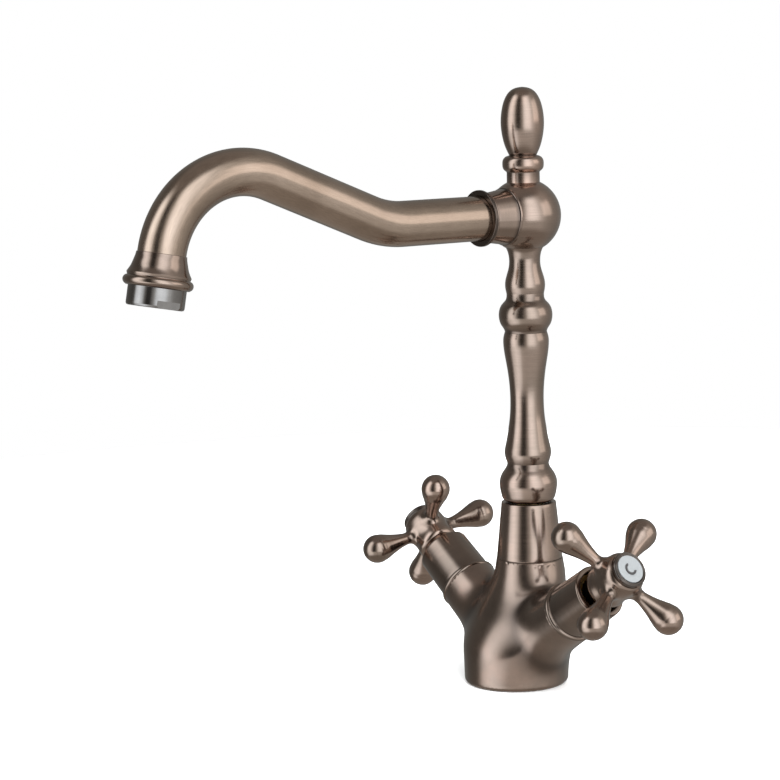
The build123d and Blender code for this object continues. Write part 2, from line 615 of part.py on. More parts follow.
nodes = {
    "body_casting": body_casting,
    "base_gasket": base_gasket,
    "collar": collar,
    "thrust_washer": thrust_washer,
    "swivel_bush": swivel_bush,
    "swivel_tail": swivel_tail,
    "tail_o_rings": tail_o_rings,
    "riser_tube": riser_tube,
    "lower_knop": lower_knop,
    "baluster": baluster,
    "middle_knop": middle_knop,
    "bulb_neck": bulb_neck,
    "head_ball": head_ball,
    "finial_collar": finial_collar,
    "finial": finial,
    "spout_ferrule": spout_ferrule,
    "spout_flange": spout_flange,
    "spout_tube": spout_tube,
    "spout_o_rings": spout_o_rings,
    "outlet_bell": outlet_bell,
    "aerator_shell": aerator_shell,
    "aerator_washer": aerator_washer,
    "aerator_insert": aerator_insert,
}
valve_nodes = {
    "sleeve": sleeve,
    "cartridge_body": cartridge_body,
    "barrel_o_ring": barrel_o_ring,
    "seat_seal": seat_seal,
    "fixed_disc": fixed_disc,
    "moving_disc": moving_disc,
    "spindle": spindle,
    "spindle_o_ring": spindle_o_ring,
    "spindle_clip": spindle_clip,
    "cross_handle": cross,
    "handle_screw": handle_screw,
    "index_bezel": index_bezel,
    "index_button": index_button,
    "index_mark": index_mark,
}

os.makedirs("parts", exist_ok=True)
for name, make in nodes.items():
    export_step(make(), f"parts/{name}.step")
for name, make in valve_nodes.items():
    export_step(make(1), f"parts/cold_{name}.step")
    export_step(make(-1), f"parts/hot_{name}.step")
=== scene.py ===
# Basin mixer in antique bronze: turned column, swan-neck spout, two cross handles.
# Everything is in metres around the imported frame; dictionaries hold millimetres.
import math

import bmesh
import bpy
import numpy as np
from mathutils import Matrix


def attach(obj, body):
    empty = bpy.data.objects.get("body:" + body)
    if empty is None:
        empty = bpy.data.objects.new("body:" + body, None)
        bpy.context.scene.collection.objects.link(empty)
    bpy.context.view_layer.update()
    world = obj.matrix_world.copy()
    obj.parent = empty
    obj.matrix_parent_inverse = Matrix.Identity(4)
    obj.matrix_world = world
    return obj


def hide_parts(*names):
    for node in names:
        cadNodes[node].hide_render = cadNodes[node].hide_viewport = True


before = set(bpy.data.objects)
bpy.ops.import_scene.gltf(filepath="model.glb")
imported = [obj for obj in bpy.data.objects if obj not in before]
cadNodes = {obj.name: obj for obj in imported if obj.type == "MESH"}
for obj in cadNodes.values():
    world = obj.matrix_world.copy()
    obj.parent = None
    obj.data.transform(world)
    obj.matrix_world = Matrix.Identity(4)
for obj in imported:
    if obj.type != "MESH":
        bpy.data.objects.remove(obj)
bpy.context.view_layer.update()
mm = 0.001
print("frame loaded:", len(cadNodes), "nodes")


# camera, floor, light
cameraSetup = {"place": (0.85410, -0.66308, 0.29409), "turn": (82.176, 1.439, 55.099), "lens": 103.62}
cameraData = bpy.data.cameras.new("mainCamera")
cameraData.lens = cameraSetup["lens"]
cameraData.sensor_width = 36
cameraData.clip_start = 0.01
camera = bpy.data.objects.new("mainCamera", cameraData)
camera.location = cameraSetup["place"]
camera.rotation_euler = [math.radians(a) for a in cameraSetup["turn"]]
bpy.context.scene.collection.objects.link(camera)
bpy.context.scene.camera = camera
bpy.context.scene.view_settings.view_transform = "Standard"


def addNode(tree, kind, place=(0, 0), **settings):
    # a node with its settings: plain names set properties, names starting with in_ set sockets
    node = tree.nodes.new(kind)
    node.location = place
    for key, value in settings.items():
        if key.startswith("in_"):
            node.inputs[key[3:].replace("_", " ")].default_value = value
        else:
            setattr(node, key, value)
    return node


def ramp(tree, place, stops):
    node = addNode(tree, "ShaderNodeValToRGB", place)
    elements = node.color_ramp.elements
    while len(elements) < len(stops):
        elements.new(0.5)
    for element, (at, colour) in zip(elements, stops):
        element.position = at
        element.color = (*colour, 1) if len(colour) == 3 else colour
    return node


studio = {
    "backdrop": (1.0, 1.0, 1.0), "floor": (0.95, 0.95, 0.95),
    "below": (0.35, 0.335, 0.31), "above": (0.26, 0.25, 0.24),
    # brightness of the room round the object: degrees from the eye's side, + to the right
    "walls": [(-180, 0.20), (-96, 0.12), (-87, 0.25), (-77, 1.8), (-62, 2.25), (-47, 1.4), (-37, 0.32),
              (-28, 0.06), (-14, 0.07), (0, 0.6), (12, 1.9), (24, 2.25), (40, 2.0), (58, 1.05), (77, 0.60),
              (98, 0.48), (124, 0.34), (180, 0.20)],
    # lower down, where the drum looks, the left panel is broad and the right side evenly grey
    "lowWalls": [(-180, 0.20), (-102, 0.14), (-92, 0.25), (-80, 1.3), (-55, 1.9), (-38, 1.6), (-22, 0.85),
                 (0, 0.72), (60, 0.72), (90, 0.5), (130, 0.3), (180, 0.2)],
    "lowFrom": (-0.255, -0.20),
    # the lit panels end softly at these heights, as the sine of the angle above the horizon
    "panelFoot": (-0.75, -0.5), "panelTop": (0.74, 0.92),
    # a window on the right that only lies above the horizon; it lights the level run of the spout
    "window": [(0, 0), (58, 0), (66, 1), (90, 1), (102, 0)], "windowFoot": (-0.05, 0.05),
    "windowTop": (0.46, 0.64), "windowLight": 0.85,
}


def tinted(value):
    # bright panels are a little cool, the dim room between them a little warm
    cool = min(value / 1.5, 1)
    return (value * (1.02 - 0.10 * cool), value, value * (0.93 + 0.13 * cool))


def buildWorld():
    # the eye sees plain white; metal sees a dim room with tall lit panels standing round it
    world = bpy.data.worlds.new("studioRoom")
    bpy.context.scene.world = world
    world.use_nodes = True
    tree = world.node_tree
    tree.nodes.clear()
    link = tree.links.new
    out = addNode(tree, "ShaderNodeOutputWorld", (1200, 0))
    path = addNode(tree, "ShaderNodeLightPath", (600, 300))
    seen = addNode(tree, "ShaderNodeBackground", (800, 200), in_Color=(*studio["backdrop"], 1),
                   in_Strength=1.0)
    where = addNode(tree, "ShaderNodeTexCoord", (-800, 0))
    split = addNode(tree, "ShaderNodeSeparateXYZ", (-600, 0))
    around = addNode(tree, "ShaderNodeMath", (-400, 200), operation="ARCTAN2")
    eyeSide = math.atan2(cameraSetup["place"][1], cameraSetup["place"][0])
    # the angle is counted from the eye's side and folded back into one turn, 0 to 1
    shifted = addNode(tree, "ShaderNodeMath", (-200, 200), operation="MULTIPLY_ADD")
    shifted.inputs[1].default_value = 1 / (2 * math.pi)
    shifted.inputs[2].default_value = 0.5 - eyeSide / (2 * math.pi)
    folded = addNode(tree, "ShaderNodeMath", (0, 200), operation="FRACT")
    peak = max(v for _, v in studio["walls"])
    walls, lowWalls = [ramp(tree, (200, 200), [(0.5 + a / 360, [c / peak for c in tinted(v)])
                                               for a, v in studio[key]]) for key in ("walls", "lowWalls")]
    low = addNode(tree, "ShaderNodeMapRange", (200, 500), interpolation_type="SMOOTHSTEP",
                  in_From_Min=studio["lowFrom"][0], in_From_Max=studio["lowFrom"][1])
    room = addNode(tree, "ShaderNodeMix", (350, 350), data_type="RGBA")
    brighter = addNode(tree, "ShaderNodeVectorMath", (450, 200), operation="SCALE", in_Scale=peak)
    foot = addNode(tree, "ShaderNodeMapRange", (-200, -100), interpolation_type="SMOOTHSTEP",
                   in_From_Min=studio["panelFoot"][0], in_From_Max=studio["panelFoot"][1])
    top = addNode(tree, "ShaderNodeMapRange", (-200, -350), interpolation_type="SMOOTHSTEP",
                  in_From_Min=studio["panelTop"][0], in_From_Max=studio["panelTop"][1],
                  in_To_Min=1.0, in_To_Max=0.0)
    within = addNode(tree, "ShaderNodeMath", (50, -200), operation="MULTIPLY")
    ends = ramp(tree, (200, -400), [(0.35, studio["below"]), (0.65, studio["above"])])
    lifted = addNode(tree, "ShaderNodeMath", (0, -450), operation="MULTIPLY_ADD")
    lifted.inputs[1].default_value = 0.5
    lifted.inputs[2].default_value = 0.5
    pane = ramp(tree, (200, -700), [(0.5 + a / 360, (v, v, v)) for a, v in studio["window"]])
    sill = addNode(tree, "ShaderNodeMapRange", (-200, -700), interpolation_type="SMOOTHSTEP",
                   in_From_Min=studio["windowFoot"][0], in_From_Max=studio["windowFoot"][1])
    lintel = addNode(tree, "ShaderNodeMapRange", (-200, -950), interpolation_type="SMOOTHSTEP",
                     in_From_Min=studio["windowTop"][0], in_From_Max=studio["windowTop"][1],
                     in_To_Min=studio["windowLight"], in_To_Max=0.0)
    opened = addNode(tree, "ShaderNodeMath", (50, -800), operation="MULTIPLY")
    glow = addNode(tree, "ShaderNodeVectorMath", (450, -700), operation="SCALE")
    total = addNode(tree, "ShaderNodeVectorMath", (750, -200), operation="ADD")
    both = addNode(tree, "ShaderNodeMix", (650, 0), data_type="RGBA")
    felt = addNode(tree, "ShaderNodeBackground", (850, 0), in_Strength=1.0)
    mix = addNode(tree, "ShaderNodeMixShader", (1000, 0))
    link(where.outputs["Generated"], split.inputs[0])
    link(split.outputs["Y"], around.inputs[0])
    link(split.outputs["X"], around.inputs[1])
    link(around.outputs[0], shifted.inputs[0])
    link(shifted.outputs[0], folded.inputs[0])
    for key, band in (("A", lowWalls), ("B", walls)):
        link(folded.outputs[0], band.inputs["Fac"])
        link(band.outputs["Color"], room.inputs[key])
    link(low.outputs["Result"], room.inputs["Factor"])
    link(room.outputs["Result"], brighter.inputs[0])
    for edge in (foot, top, sill, lintel, low):
        link(split.outputs["Z"], edge.inputs["Value"])
    link(foot.outputs["Result"], within.inputs[0])
    link(top.outputs["Result"], within.inputs[1])
    link(split.outputs["Z"], lifted.inputs[0])
    link(lifted.outputs[0], ends.inputs["Fac"])
    link(within.outputs[0], both.inputs["Factor"])
    link(ends.outputs["Color"], both.inputs["A"])
    link(brighter.outputs[0], both.inputs["B"])
    link(folded.outputs[0], pane.inputs["Fac"])
    link(sill.outputs["Result"], opened.inputs[0])
    link(lintel.outputs["Result"], opened.inputs[1])
    link(pane.outputs["Color"], glow.inputs[0])
    link(opened.outputs[0], glow.inputs["Scale"])
    link(both.outputs["Result"], total.inputs[0])
    link(glow.outputs[0], total.inputs[1])
    link(total.outputs[0], felt.inputs["Color"])
    link(path.outputs["Is Camera Ray"], mix.inputs[0])
    link(felt.outputs[0], mix.inputs[1])
    link(seen.outputs[0], mix.inputs[2])
    link(mix.outputs[0], out.inputs["Surface"])


softboxes = {
    # these two light the floor and the dull pieces; metal doesn't mirror them
    "frontBox": {"azimuth": 25, "height": 1.1, "away": 1.2, "size": (1.6, 1.6), "power": 30},
    "topBox": {"azimuth": 170, "height": 1.3, "away": 0.2, "size": (2.6, 2.6), "power": 60},
}
lightTarget = np.array((0.0, -0.06, 0.1))


def addSoftbox(name, box):
    # a softbox that stands on a circle round the object and looks at its middle
    data = bpy.data.lights.new(name, "AREA")
    data.shape = "RECTANGLE"
    data.size, data.size_y = box["size"]
    data.energy = box["power"]
    toEye = math.atan2(cameraSetup["place"][1], cameraSetup["place"][0])
    around = toEye + math.radians(box["azimuth"])
    lamp = bpy.data.objects.new(name, data)
    lamp.location = (box["away"] * math.cos(around), box["away"] * math.sin(around), box["height"])
    look = lightTarget - np.array(lamp.location)
    flat = math.hypot(look[0], look[1])
    lamp.rotation_euler = (math.atan2(flat, -look[2]), 0, math.atan2(look[1], look[0]) - math.pi / 2)
    lamp.visible_glossy = False
    bpy.context.scene.collection.objects.link(lamp)


buildWorld()
for boxName, boxFacts in softboxes.items():
    addSoftbox(boxName, boxFacts)
print("camera and light set")


# materials
def newMaterial(name):
    material = bpy.data.materials.new(name)
    material.use_nodes = True
    tree = material.node_tree
    tree.nodes.clear()
    out = addNode(tree, "ShaderNodeOutputMaterial", (900, 0))
    shader = addNode(tree, "ShaderNodeBsdfPrincipled", (600, 0))
    tree.links.new(shader.outputs[0], out.inputs["Surface"])
    return material, tree, shader


def bronze(name, look):
    # brushed antique plating: fine lines that follow the piece's own grain attribute, cloudy patina
    # from the place in space, and painted shade: darker metal where a per-point attribute says the form is
    # recessed, standing in for the shade in creases and grooves
    material, tree, shader = newMaterial(name)
    link = tree.links.new
    grain = addNode(tree, "ShaderNodeAttribute", (-900, 100), attribute_name="grain")
    hollow = addNode(tree, "ShaderNodeAttribute", (-900, -300), attribute_name="hollow")
    where = addNode(tree, "ShaderNodeTexCoord", (-900, 400))
    lines = addNode(tree, "ShaderNodeTexNoise", (-650, 100), in_Scale=look["lineScale"], in_Detail=4.0,
                    in_Roughness=0.65)
    cloud = addNode(tree, "ShaderNodeTexNoise", (-650, 400), in_Scale=look["cloudScale"], in_Detail=3.0,
                    in_Roughness=0.55)
    link(grain.outputs["Vector"], lines.inputs["Vector"])
    link(where.outputs["Object"], cloud.inputs["Vector"])
    tint = ramp(tree, (-400, 400), [(0.3, look["deep"]), (0.55, look["base"]), (0.75, look["warm"])])
    link(cloud.outputs["Fac"], tint.inputs["Fac"])
    streak = addNode(tree, "ShaderNodeMapRange", (-400, 100), in_From_Min=0.3, in_From_Max=0.7,
                     in_To_Min=1.0 - look["streak"], in_To_Max=1.0 + 0.5 * look["streak"])
    link(lines.outputs["Fac"], streak.inputs["Value"])
    streaked = addNode(tree, "ShaderNodeVectorMath", (-150, 300), operation="SCALE")
    link(tint.outputs["Color"], streaked.inputs[0])
    link(streak.outputs["Result"], streaked.inputs["Scale"])
    # painted shade: where the per-point shade weight is high the colour is mixed toward the near-black recess
    # colour
    paintedShadeMix = addNode(tree, "ShaderNodeMix", (100, 300), data_type="RGBA")
    paintedShadeMix.inputs["B"].default_value = (*look["recess"], 1)
    link(hollow.outputs["Fac"], paintedShadeMix.inputs["Factor"])
    link(streaked.outputs[0], paintedShadeMix.inputs["A"])
    link(paintedShadeMix.outputs["Result"], shader.inputs["Base Color"])
    dull = addNode(tree, "ShaderNodeMapRange", (100, 0), in_From_Min=0.3, in_From_Max=0.7,
                   in_To_Min=look["rough"][0], in_To_Max=look["rough"][1])
    link(lines.outputs["Fac"], dull.inputs["Value"])
    link(dull.outputs["Result"], shader.inputs["Roughness"])
    bump = addNode(tree, "ShaderNodeBump", (350, -200), in_Strength=look["bump"], in_Distance=0.00004)
    link(lines.outputs["Fac"], bump.inputs["Height"])
    link(bump.outputs["Normal"], shader.inputs["Normal"])
    shader.inputs["Metallic"].default_value = 1.0
    shader.inputs["Coat Weight"].default_value = look["lacquer"]
    shader.inputs["Coat Roughness"].default_value = 0.2
    return material


def solidMetal(name, colour, rough):
    # a machined metal that isn't brushed, with faint clouds in its shine
    material, tree, shader = newMaterial(name)
    where = addNode(tree, "ShaderNodeTexCoord", (-700, 0))
    cloud = addNode(tree, "ShaderNodeTexNoise", (-450, 0), in_Scale=180.0, in_Detail=3.0)
    tint = ramp(tree, (-200, 200), [(0.3, tuple(0.8 * c for c in colour)), (0.7, colour)])
    dull = addNode(tree, "ShaderNodeMapRange", (-200, -100), in_To_Min=0.8 * rough, in_To_Max=1.25 * rough)
    tree.links.new(where.outputs["Object"], cloud.inputs["Vector"])
    tree.links.new(cloud.outputs["Fac"], tint.inputs["Fac"])
    tree.links.new(cloud.outputs["Fac"], dull.inputs["Value"])
    tree.links.new(tint.outputs["Color"], shader.inputs["Base Color"])
    tree.links.new(dull.outputs["Result"], shader.inputs["Roughness"])
    shader.inputs["Metallic"].default_value = 1.0
    return material


def dullPlastic(name, colour, rough, coat=0.0):
    # rubber, acetal, ceramic or enamel: one colour with a fine moulded mottle
    material, tree, shader = newMaterial(name)
    where = addNode(tree, "ShaderNodeTexCoord", (-700, 0))
    mottle = addNode(tree, "ShaderNodeTexNoise", (-450, 0), in_Scale=900.0, in_Detail=2.0)
    tint = ramp(tree, (-200, 200), [(0.25, tuple(0.9 * c for c in colour)), (0.75, colour)])
    bump = addNode(tree, "ShaderNodeBump", (200, -200), in_Strength=0.15, in_Distance=0.00002)
    tree.links.new(where.outputs["Object"], mottle.inputs["Vector"])
    tree.links.new(mottle.outputs["Fac"], tint.inputs["Fac"])
    tree.links.new(mottle.outputs["Fac"], bump.inputs["Height"])
    tree.links.new(tint.outputs["Color"], shader.inputs["Base Color"])
    tree.links.new(bump.outputs["Normal"], shader.inputs["Normal"])
    shader.inputs["Roughness"].default_value = rough
    shader.inputs["Coat Weight"].default_value = coat
    return material


# the near-black recess colour is painted shade, mixed into creases and grooves by the bronze material
brushedLook = {"deep": (0.30, 0.22, 0.17), "base": (0.385, 0.275, 0.218), "warm": (0.465, 0.312, 0.24),
               "recess": (0.060, 0.040, 0.030), "lineScale": 1.0, "cloudScale": 35.0, "streak": 0.14,
               "rough": (0.14, 0.22), "bump": 0.2, "lacquer": 0.7}
castLook = dict(brushedLook, deep=(0.27, 0.198, 0.155), base=(0.35, 0.25, 0.198), warm=(0.44, 0.292, 0.225),
                rough=(0.19, 0.24), streak=0.05, bump=0.02)
# a lighter, yellower copy of the brushed bronze: the yellower tone is the tube's own, the extra brightness is
# painted light in place of a brighter window
spoutLook = dict(brushedLook, deep=(0.375, 0.268, 0.198), base=(0.455, 0.332, 0.252),
                 warm=(0.52, 0.385, 0.298), rough=(0.15, 0.24))
bezelLook = dict(brushedLook, deep=(0.12, 0.098, 0.084), base=(0.165, 0.132, 0.112), warm=(0.21, 0.17, 0.144))
bellLook = dict(brushedLook, rough=(0.10, 0.15), streak=0.08, bump=0.12)
# a darker copy of the brushed bronze for the sleeves: the darkness is painted shade, the lower roughness
# makes them glossier
sleeveLook = dict(brushedLook, deep=(0.22, 0.165, 0.13), base=(0.29, 0.21, 0.165), warm=(0.37, 0.255, 0.2),
                  rough=(0.11, 0.17), bump=0.14)
brushedBronze = bronze("brushedBronze", brushedLook)
castBronze = bronze("castBronze", castLook)
spoutBronze = bronze("spoutBronze", spoutLook)
bezelBronze = bronze("bezelBronze", bezelLook)
bellBronze = bronze("bellBronze", bellLook)
sleeveBronze = bronze("sleeveBronze", sleeveLook)
darkNickel = solidMetal("darkNickel", (0.33, 0.305, 0.29), 0.12)
rawBrass = solidMetal("rawBrass", (0.62, 0.44, 0.18), 0.3)
stainless = solidMetal("stainless", (0.5, 0.5, 0.5), 0.3)
blackRubber = dullPlastic("blackRubber", (0.02, 0.02, 0.02), 0.6)
whiteAcetal = dullPlastic("whiteAcetal", (0.75, 0.75, 0.72), 0.45)
greyPlastic = dullPlastic("greyPlastic", (0.08, 0.08, 0.085), 0.5)
indexEnamel = dullPlastic("indexEnamel", (0.225, 0.235, 0.24), 0.3, coat=0.5)
indexInk = dullPlastic("indexInk", (0.035, 0.033, 0.033), 0.4)
print("materials made")


# shapes
def through(points, count):
    # smooth line through the points: natural cubic spline over the running chord length
    p = np.array(points, float)
    t = np.concatenate([[0], np.cumsum(np.linalg.norm(np.diff(p, axis=0), axis=1))])
    h = np.diff(t)
    n = len(p)
    system = np.eye(n)
    right = np.zeros((n, p.shape[1]))
    inner = np.arange(1, n - 1)
    system[inner, inner - 1] = h[:-1]
    system[inner, inner] = 2 * (h[:-1] + h[1:])
    system[inner, inner + 1] = h[1:]
    slope = np.diff(p, axis=0) / h[:, None]
    right[inner] = 6 * np.diff(slope, axis=0)
    bend = np.linalg.solve(system, right)
    at = np.linspace(0, t[-1], count)
    k = np.clip(np.searchsorted(t, at, side="right") - 1, 0, n - 2)
    a, b = (t[k + 1] - at)[:, None], (at - t[k])[:, None]
    hk = h[k][:, None]
    return (bend[k] * a**3 + bend[k + 1] * b**3) / (6 * hk) \
        + (p[k] / hk - bend[k] * hk / 6) * a + (p[k + 1] / hk - bend[k + 1] * hk / 6) * b


def rounded(corners, radius=0.35, steps=5, closed=False):
    # straight outline whose corners are eased: each corner is cut back by the radius and crossed
    # by a quadratic curve that has the corner as its middle control point
    p = np.array(corners, float)
    last, following = np.roll(p, 1, 0), np.roll(p, -1, 0)
    toLast, toNext = last - p, following - p
    lenLast = np.linalg.norm(toLast, axis=1, keepdims=True)
    lenNext = np.linalg.norm(toNext, axis=1, keepdims=True)
    cutLast, cutNext = np.minimum(radius, 0.45 * lenLast), np.minimum(radius, 0.45 * lenNext)
    start = p + toLast / lenLast * cutLast
    end = p + toNext / lenNext * cutNext
    t = np.linspace(0, 1, steps)[None, :, None]
    arcs = (1 - t) ** 2 * start[:, None] + 2 * t * (1 - t) * p[:, None] + t**2 * end[:, None]
    if not closed:
        return np.concatenate([p[:1], arcs[1:-1].reshape(-1, 2), p[-1:]])
    return arcs.reshape(-1, 2)


def filled(outline, widest=0.9):
    # the same outline with points added so that no step is longer than the widest
    parts = []
    for a, b in zip(outline[:-1], outline[1:]):
        n = max(1, int(np.linalg.norm(b - a) / widest))
        parts.append(a + (b - a) * (np.arange(n) / n)[:, None])
    return np.concatenate(parts + [outline[-1:]])


def gridQuads(rows, cols, wrapRows, wrapCols):
    # quads between neighbours of a grid numbered row by row
    r = np.arange(rows if wrapRows else rows - 1)[:, None]
    c = np.arange(cols if wrapCols else cols - 1)[None, :]
    below, aside = (r + 1) % rows, (c + 1) % cols
    corners = [r * cols + c, r * cols + aside, below * cols + aside, below * cols + c]
    return np.stack(corners, -1).reshape(-1, 4)


def makePiece(name, shells, body, material, stands=(), turnOut=True, sharp=38):
    # one object from closed shells; each shell is (places in mm, quads, grain, painted shade)
    places, quads, grains, paintedShades, first = [], [], [], [], 0
    for spots, faces, grain, hollow in shells:
        places.append(np.reshape(spots, (-1, 3)))
        quads.append(np.asarray(faces) + first)
        grains.append(np.reshape(grain, (-1, 3)))
        paintedShades.append(np.ravel(hollow))
        first += len(places[-1])
    places, quads = np.concatenate(places) * mm, np.concatenate(quads)
    mesh = bpy.data.meshes.new(name)
    mesh.vertices.add(len(places))
    mesh.vertices.foreach_set("co", places.astype(np.float32).ravel())
    mesh.loops.add(quads.size)
    mesh.loops.foreach_set("vertex_index", quads.astype(np.int32).ravel())
    mesh.polygons.add(len(quads))
    mesh.polygons.foreach_set("loop_start", np.arange(0, quads.size, 4, dtype=np.int32))
    mesh.update(calc_edges=True)
    grainLayer = mesh.attributes.new("grain", "FLOAT_VECTOR", "POINT")
    grainLayer.data.foreach_set("vector", np.concatenate(grains).astype(np.float32).ravel())
    # painted shade per point, which the bronze materials mix in as darkness
    paintedShadeLayer = mesh.attributes.new("hollow", "FLOAT", "POINT")
    paintedShadeLayer.data.foreach_set("value", np.concatenate(paintedShades).astype(np.float32))
    work = bmesh.new()
    work.from_mesh(mesh)
    bmesh.ops.remove_doubles(work, verts=work.verts, dist=0.000004)
    bmesh.ops.dissolve_degenerate(work, edges=work.edges, dist=0.000001)
    if turnOut:
        bmesh.ops.recalc_face_normals(work, faces=work.faces)
    work.to_mesh(mesh)
    work.free()
    mesh.materials.append(material)
    mesh.shade_smooth()
    mesh.set_sharp_from_angle(angle=math.radians(sharp))
    piece = bpy.data.objects.new(name, mesh)
    bpy.context.scene.collection.objects.link(piece)
    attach(piece, body)
    if stands:
        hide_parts(*stands)
    return piece


def grooveShadeOf(outline, reach=1.6, strength=1.0):
    # how deep each outline point sits: its height below the smoothed outline around it, used as the weight of
    # painted shade in grooves
    step = np.linalg.norm(np.diff(outline, axis=0), axis=1)
    run = np.concatenate([[0], np.cumsum(step)])
    weight = np.exp(-((run[:, None] - run[None, :]) / (2.2 * reach)) ** 2)
    mean = weight @ outline[:, 0] / weight.sum(1)
    return np.clip((mean - outline[:, 0]) / reach * strength, 0, 1)


def turnedShell(outline, place, cols=160, closed=False, deep=1.0, twist=0.0):
    # outline of (radius, height) carried round an axis: place = (origin, across, beside, along)
    origin, across, beside, along = [np.array(v, float) for v in place]
    outline = np.asarray(outline, float)
    if closed:
        outline = outline[:-1] if np.allclose(outline[0], outline[-1]) else outline
    angle = np.linspace(0, 2 * math.pi, cols, endpoint=False) + twist
    r, z = outline[:, :1], outline[:, 1:2]
    cosA, sinA = np.cos(angle)[None, :], np.sin(angle)[None, :]
    spots = origin + (r * cosA)[..., None] * across + (r * sinA)[..., None] * beside \
        + (z + 0 * cosA)[..., None] * along
    run = np.concatenate([[0], np.cumsum(np.linalg.norm(np.diff(outline, axis=0), axis=1))])
    grain = np.stack([0.9 * cosA + 0 * r, 0.9 * sinA + 0 * r, 3.2 * run[:, None] + 0 * cosA], -1)
    # painted shade: darker metal in the grooves of the outline, as strong as deep says
    hollow = np.repeat(grooveShadeOf(outline, strength=deep)[:, None], cols, 1)
    return spots, gridQuads(len(outline), cols, closed, True), grain, hollow


columnPlace = ((0, 9.6, 0), (1, 0, 0), (0, 1, 0), (0, 0, 1))


def boredOutline(outside, bore):
    # outer line followed by its bore, one closed outline
    return np.concatenate([outside, [[bore, outside[-1, 1]], [bore, outside[0, 1]]]])


def ring(corners, radius=0.35):
    return filled(rounded(corners, radius, closed=True), 1.5)


def column():
    column = {"collarTop": 88.3, "groove": 107.7, "balusterTop": 171.9, "bulbFoot": 191.0,
              "headFoot": 213.0, "headTop": 244.4, "head": (228.4, 17.9), "top": 290.0}
    ct, gr, bt, bf = column["collarTop"], column["groove"], column["balusterTop"], column["bulbFoot"]
    hf, ht = column["headFoot"], column["headTop"]
    collarLine = ring([(12.5, 60.55), (16.15, 60.55), (13.4, ct), (10.3, ct), (10.3, ct - 3), (12.5, 72)],
                      0.45)
    makePiece("collarSkin", [turnedShell(collarLine, columnPlace, closed=True, deep=0)], "root",
              brushedBronze, ["collar"])
    knop = through([(10.8, 88.6), (12.35, 89.6), (13.45, 92.3), (14.15, 97.0), (13.7, 100.4), (12.25, 103.3),
                    (10.9, 105.3), (10.3, 106.8), (10.15, gr)], 60)
    makePiece("lowerKnop", [turnedShell(boredOutline(knop, 5.6), columnPlace, closed=True)], "swivel",
              brushedBronze, ["lower_knop"])
    vase = through([(10.25, gr), (10.9, 109.7), (11.4, 112.1), (11.15, 115.2), (10.5, 118.1), (9.4, 124.1),
                    (8.55, 130.2), (8.18, 136), (8.2, 142), (8.75, 149.4), (9.6, 155.6), (10.5, 161),
                    (11.08, 166.4), (10.95, 169.4), (10.3, bt)], 110)
    makePiece("balusterBody", [turnedShell(boredOutline(vase, 5.6), columnPlace, closed=True)], "swivel",
              brushedBronze, ["baluster"])
    ball = through([(10.15, bt), (10.5, 173.2), (11.9, 175.5), (12.7, 177.6), (13.02, 180.2), (12.7, 182.8),
                    (11.9, 184.8), (10.6, 186.4), (9.5, 187.8), (9.08, 189.5), (9.1, bf)], 64)
    makePiece("middleKnop", [turnedShell(boredOutline(ball, 5.6), columnPlace, closed=True)], "swivel",
              brushedBronze, ["middle_knop"])
    bulb = through([(9.15, bf), (9.68, 194.5), (9.35, 197.8), (8.5, 200.8), (7.75, 203.6), (7.5, 206.6),
                    (7.75, 209.4), (8.6, 212.2), (9.1, 213.2)], 56)
    makePiece("bulbNeck", [turnedShell(boredOutline(bulb, 5.6), columnPlace, closed=True)], "swivel",
              brushedBronze, ["bulb_neck"])
    zc, rc = column["head"]
    lower, upper = math.asin((hf - zc) / rc), math.asin((ht - zc) / rc)
    tilt = np.linspace(lower, upper, 70)
    globe = np.stack([rc * np.cos(tilt), zc + rc * np.sin(tilt)], -1)
    globe = np.concatenate([[[0, hf]], globe, [[0, ht]]])
    makePiece("headBall", [turnedShell(globe, columnPlace, deep=0)], "swivel", brushedBronze,
              ["head_ball"])
    neckRing = np.concatenate([
        [[3.1, ht], [7.95, ht]], rounded([(7.95, ht), (7.95, ht + 5.0), (8.3, ht + 5.3)], 0.4),
        through([(8.4, ht + 5.4), (9.5, ht + 6.5), (9.97, ht + 8.8), (9.55, ht + 11.2), (8.2, ht + 12.5),
                 (6.7, ht + 13.0)], 30), [[3.1, ht + 13.0]]])
    makePiece("finialCollar", [turnedShell(neckRing, columnPlace, closed=True)], "swivel",
              brushedBronze, ["finial_collar"])
    foot, top = ht + 13.0, column["top"]
    h = top - foot
    egg = through([(6.55, foot), (8.2, foot + 0.11 * h), (9.8, foot + 0.29 * h), (10.4, foot + 0.48 * h),
                   (9.9, foot + 0.66 * h), (8.15, foot + 0.84 * h), (5.6, foot + 0.945 * h),
                   (2.9, foot + 0.987 * h), (0.0, top)], 90)
    finialLine = np.concatenate([[[0, foot]], egg])
    makePiece("finialBody", [turnedShell(finialLine, columnPlace, deep=0.6)], "swivel",
              brushedBronze, ["finial"])


column()
print("column turned")


# spout
spout = {"headHeight": 228.4, "columnY": 9.6, "start": 8.0, "radius": 10.7, "wall": 1.3, "rise": 22.0,
         "bendAt": 81.9, "bendRadius": 52.0, "archAt": 158.8, "archRadius": 41.5, "tilt": 11.0}
spoutPlace = ((0, 9.6, 228.4), (1, 0, 0), (0, 0, 1), (0, -1, 0))


